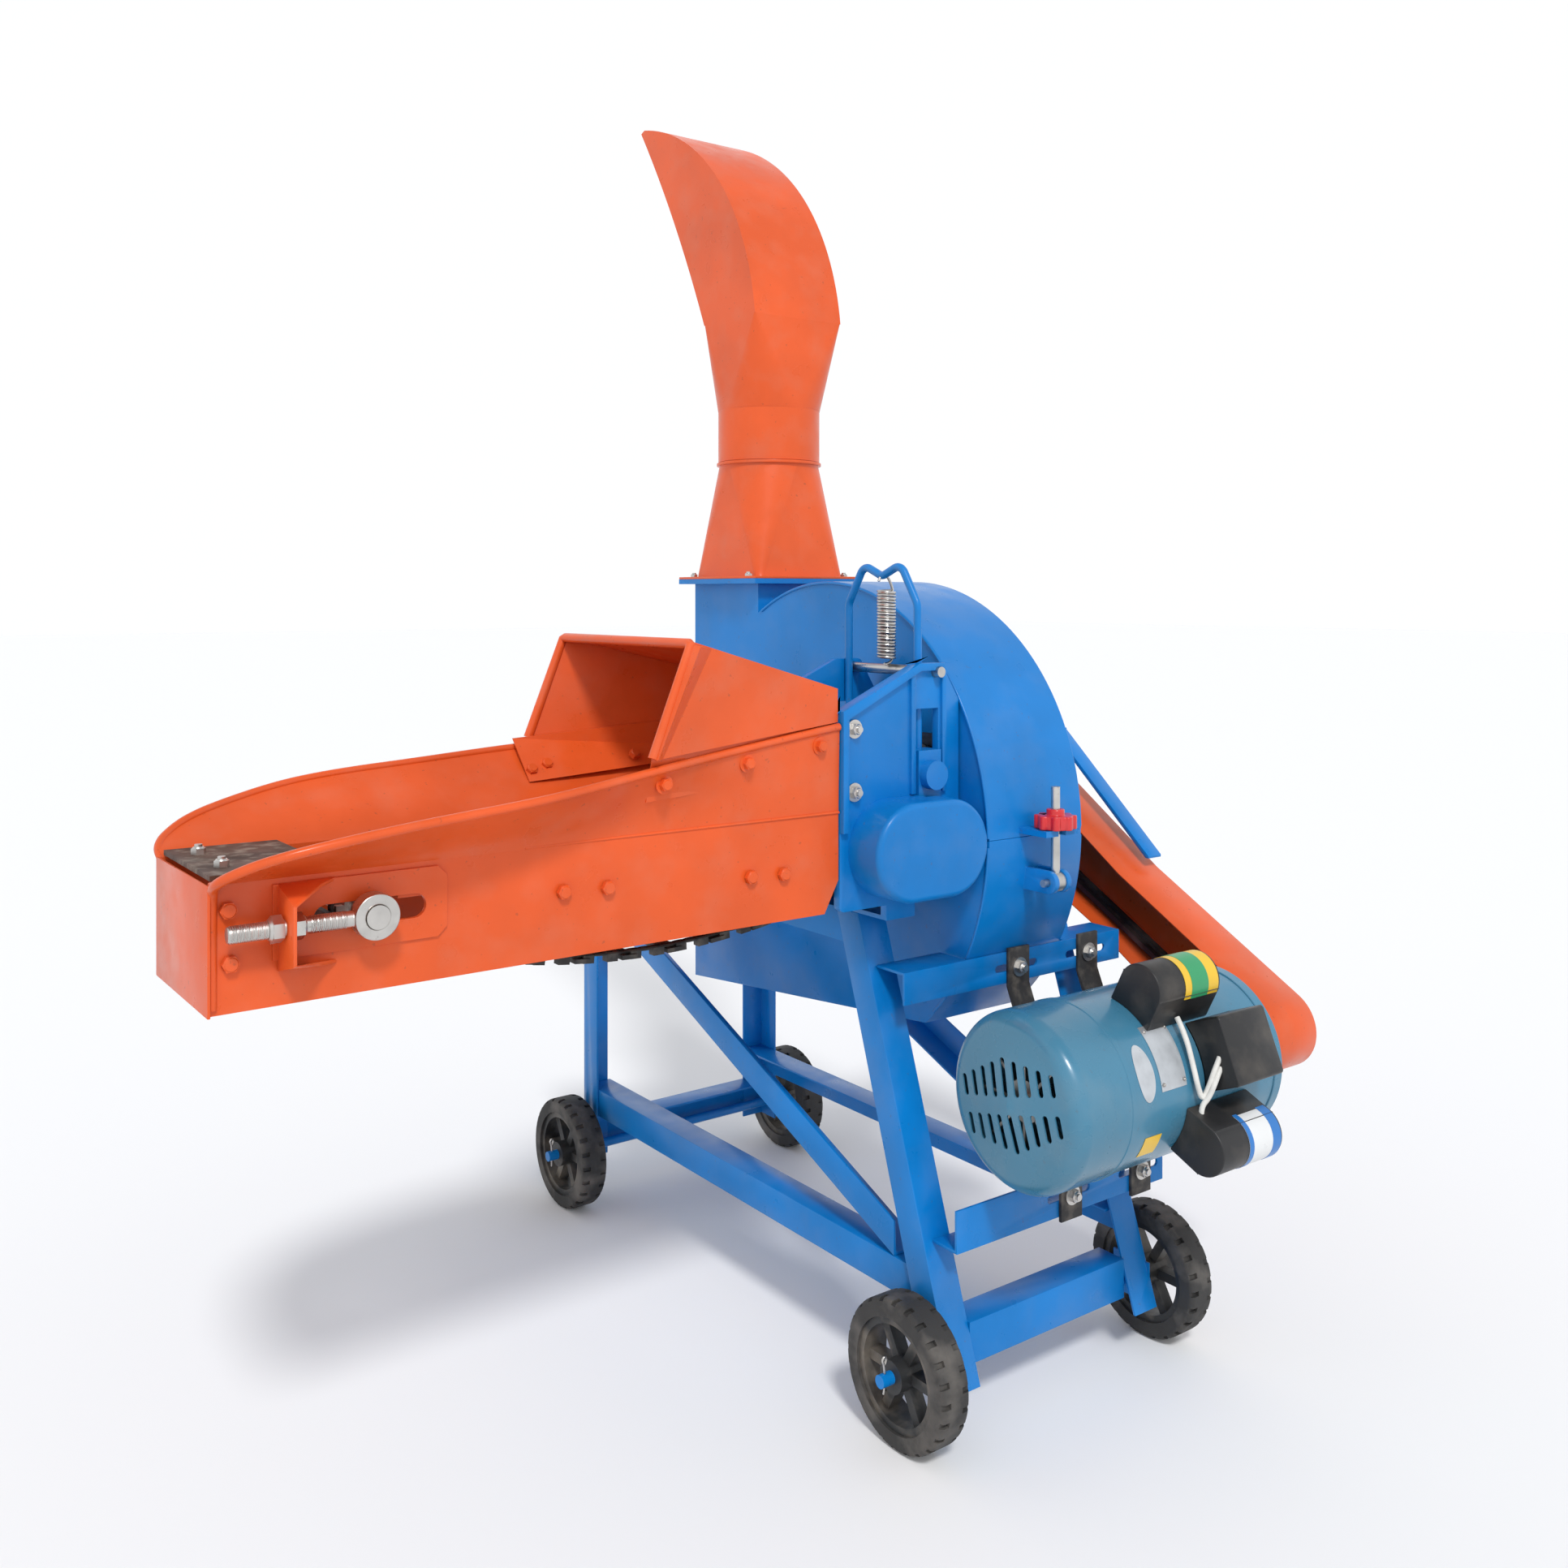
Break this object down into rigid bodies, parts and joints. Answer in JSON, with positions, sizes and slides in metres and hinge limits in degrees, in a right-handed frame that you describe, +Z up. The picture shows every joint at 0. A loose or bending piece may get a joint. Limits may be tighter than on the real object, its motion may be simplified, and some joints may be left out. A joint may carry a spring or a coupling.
{
  "type": "wheeled chaff cutter with blower spout",
  "caption": "Wheeled forage chopper: slat-chain feed table, gear-driven feed rollers, knife-disc blower drum with hinged cover and turning spout, belt-driven by a motor.",
  "frame": {"origin": "on the floor under the middle of the whole machine's box", "axes": "+X is the feed direction, +Y is away from the motor side towards the outlet, +Z is up"},
  "size_m": [1.42, 1.2197, 1.875],
  "materials": {
    "orange_paint": "gloss",
    "blue_paint": "gloss",
    "teal_paint": "satin",
    "black_plastic": "satin",
    "wheel_rubber": "matte",
    "zinc_steel": "satin",
    "dark_steel": "matte",
    "red_plastic": "gloss",
    "white_sleeve": "matte",
    "belt_rubber": "matte",
    "cast_iron": "matte"
  },
  "bodies": {
    "machine": {"legs": "blue_paint", "base_rails": "blue_paint", "braces": "blue_paint", "motor_bars": "blue_paint", "drum_supports": "blue_paint", "axles": "blue_paint", "drum_casing": "blue_paint", "pivot_pins": "zinc_steel", "pillow_blocks": "blue_paint", "bearing_bed": "blue_paint", "feed_plates": "blue_paint", "gear_cover": "blue_paint", "table_wall_near": "orange_paint", "table_wall_far": "orange_paint", "table_bed": "orange_paint", "tail_cover_plate": "dark_steel", "throat_hood": "orange_paint", "takeup_brackets": "orange_paint", "conveyor_chains": "dark_steel", "conveyor_slats": "dark_steel", "belts": "belt_rubber", "belt_guard": "orange_paint", "motor_body": "teal_paint", "fan_cover": "teal_paint", "motor_straps": "dark_steel", "terminal_box": "black_plastic", "capacitor_covers": "black_plastic", "motor_leads": "white_sleeve", "pressure_spring": "zinc_steel", "fasteners": "zinc_steel"},
    "cover": {"drum_cover": "blue_paint", "outlet_cone": "orange_paint"},
    "spout_body": {"spout": "orange_paint"},
    "clamp_bolt": {"swing_bolt": "zinc_steel"},
    "knob": {"star_knob": "red_plastic"},
    "rotor": {"main_shaft": "zinc_steel", "bevel_pinion": "cast_iron", "knife_disc": "dark_steel", "knives": "dark_steel", "paddles": "dark_steel", "main_pulley": "cast_iron"},
    "motor_rotor": {"motor_shaft": "zinc_steel", "motor_pulley": "cast_iron"},
    "lower_roller_body": {"lower_roller": "cast_iron", "roller_gears": "cast_iron"},
    "idler": {"idler_gear": "cast_iron"},
    "head_shaft_body": {"head_shaft": "zinc_steel"},
    "yoke": {"roller_yoke": "blue_paint"},
    "upper_roller_body": {"upper_roller": "cast_iron", "upper_roller_gear": "cast_iron"},
    "takeup": {"takeup_eyes": "zinc_steel"},
    "tail_shaft_body": {"tail_shaft": "zinc_steel"},
    "wheel_near_left": {"rim_near_left": "black_plastic", "tyre_near_left": "wheel_rubber"},
    "wheel_near_right": {"rim_near_right": "black_plastic", "tyre_near_right": "wheel_rubber"},
    "wheel_far_left": {"rim_far_left": "black_plastic", "tyre_far_left": "wheel_rubber"},
    "wheel_far_right": {"rim_far_right": "black_plastic", "tyre_far_right": "wheel_rubber"}
  },
  "joints": [
    {"name": "cover_hinge", "type": "hinge", "parent": "machine", "child": "cover", "pos_m": [0.348, 0.399, 0.717], "axis": [-1, 0, 0], "range_deg": [0, 95]},
    {"name": "spout_turn", "type": "hinge", "parent": "cover", "child": "spout_body", "pos_m": [0.348, 0.2965, 1.3], "axis": [0, 0, 1], "range_deg": [-180, 180]},
    {"name": "swing_bolt_pivot", "type": "hinge", "parent": "machine", "child": "clamp_bolt", "pos_m": [0.345, -0.355, 0.66], "axis": [1, 0, 0], "range_deg": [0, 100]},
    {"name": "knob_turn", "type": "hinge", "parent": "clamp_bolt", "child": "knob", "pos_m": [0.345, -0.355, 0.74], "axis": [0, 0, 1], "continuous": true},
    {"name": "rotor_spin", "type": "hinge", "parent": "machine", "child": "rotor", "pos_m": [0.32, 0.027, 0.715], "axis": [1, 0, 0], "continuous": true},
    {"name": "motor_spin", "type": "hinge", "parent": "machine", "child": "motor_rotor", "pos_m": [0.42, -0.448, 0.428], "axis": [1, 0, 0], "continuous": true},
    {"name": "lower_roller_spin", "type": "hinge", "parent": "machine", "child": "lower_roller_body", "pos_m": [0.2, -0.173, 0.715], "axis": [0, 1, 0], "continuous": true},
    {"name": "idler_spin", "type": "hinge", "parent": "machine", "child": "idler", "pos_m": [0.162, -0.293, 0.69016], "axis": [0, 1, 0], "continuous": true},
    {"name": "head_shaft_spin", "type": "hinge", "parent": "machine", "child": "head_shaft_body", "pos_m": [0.124, -0.173, 0.715], "axis": [0, 1, 0], "continuous": true},
    {"name": "roller_float", "type": "slide", "parent": "machine", "child": "yoke", "axis": [0, 0, 1], "range_m": [0, 0.05], "stiffness_N_per_m": 1500, "springref_m": -0.02, "deforming": ["pressure_spring"]},
    {"name": "upper_roller_spin", "type": "hinge", "parent": "yoke", "child": "upper_roller_body", "pos_m": [0.2, -0.173, 0.804], "axis": [0, 1, 0], "continuous": true},
    {"name": "takeup_slide", "type": "slide", "parent": "machine", "child": "takeup", "axis": [-1, 0, 0], "range_m": [0, 0.04], "deforming": ["conveyor_chains", "conveyor_slats"]},
    {"name": "tail_shaft_spin", "type": "hinge", "parent": "takeup", "child": "tail_shaft_body", "pos_m": [-0.555, -0.173, 0.722], "axis": [0, 1, 0], "continuous": true},
    {"name": "wheel_near_left_spin", "type": "hinge", "parent": "machine", "child": "wheel_near_left", "pos_m": [0.091, -0.346, 0.09], "axis": [1, 0, 0], "continuous": true},
    {"name": "wheel_near_right_spin", "type": "hinge", "parent": "machine", "child": "wheel_near_right", "pos_m": [0.549, -0.346, 0.09], "axis": [1, 0, 0], "continuous": true},
    {"name": "wheel_far_left_spin", "type": "hinge", "parent": "machine", "child": "wheel_far_left", "pos_m": [0.091, 0.52, 0.09], "axis": [1, 0, 0], "continuous": true},
    {"name": "wheel_far_right_spin", "type": "hinge", "parent": "machine", "child": "wheel_far_right", "pos_m": [0.549, 0.52, 0.09], "axis": [1, 0, 0], "continuous": true}
  ],
  "couplings": [
    {"joint": "swing_bolt_pivot", "follows": "cover_hinge", "ratio": 1},
    {"joint": "motor_spin", "follows": "rotor_spin", "ratio": 1.5},
    {"joint": "lower_roller_spin", "follows": "rotor_spin", "ratio": 0.375},
    {"joint": "idler_spin", "follows": "rotor_spin", "ratio": -0.5625},
    {"joint": "head_shaft_spin", "follows": "rotor_spin", "ratio": 0.375},
    {"joint": "upper_roller_spin", "follows": "rotor_spin", "ratio": -0.375},
    {"joint": "tail_shaft_spin", "follows": "rotor_spin", "ratio": 0.375}
  ]
}
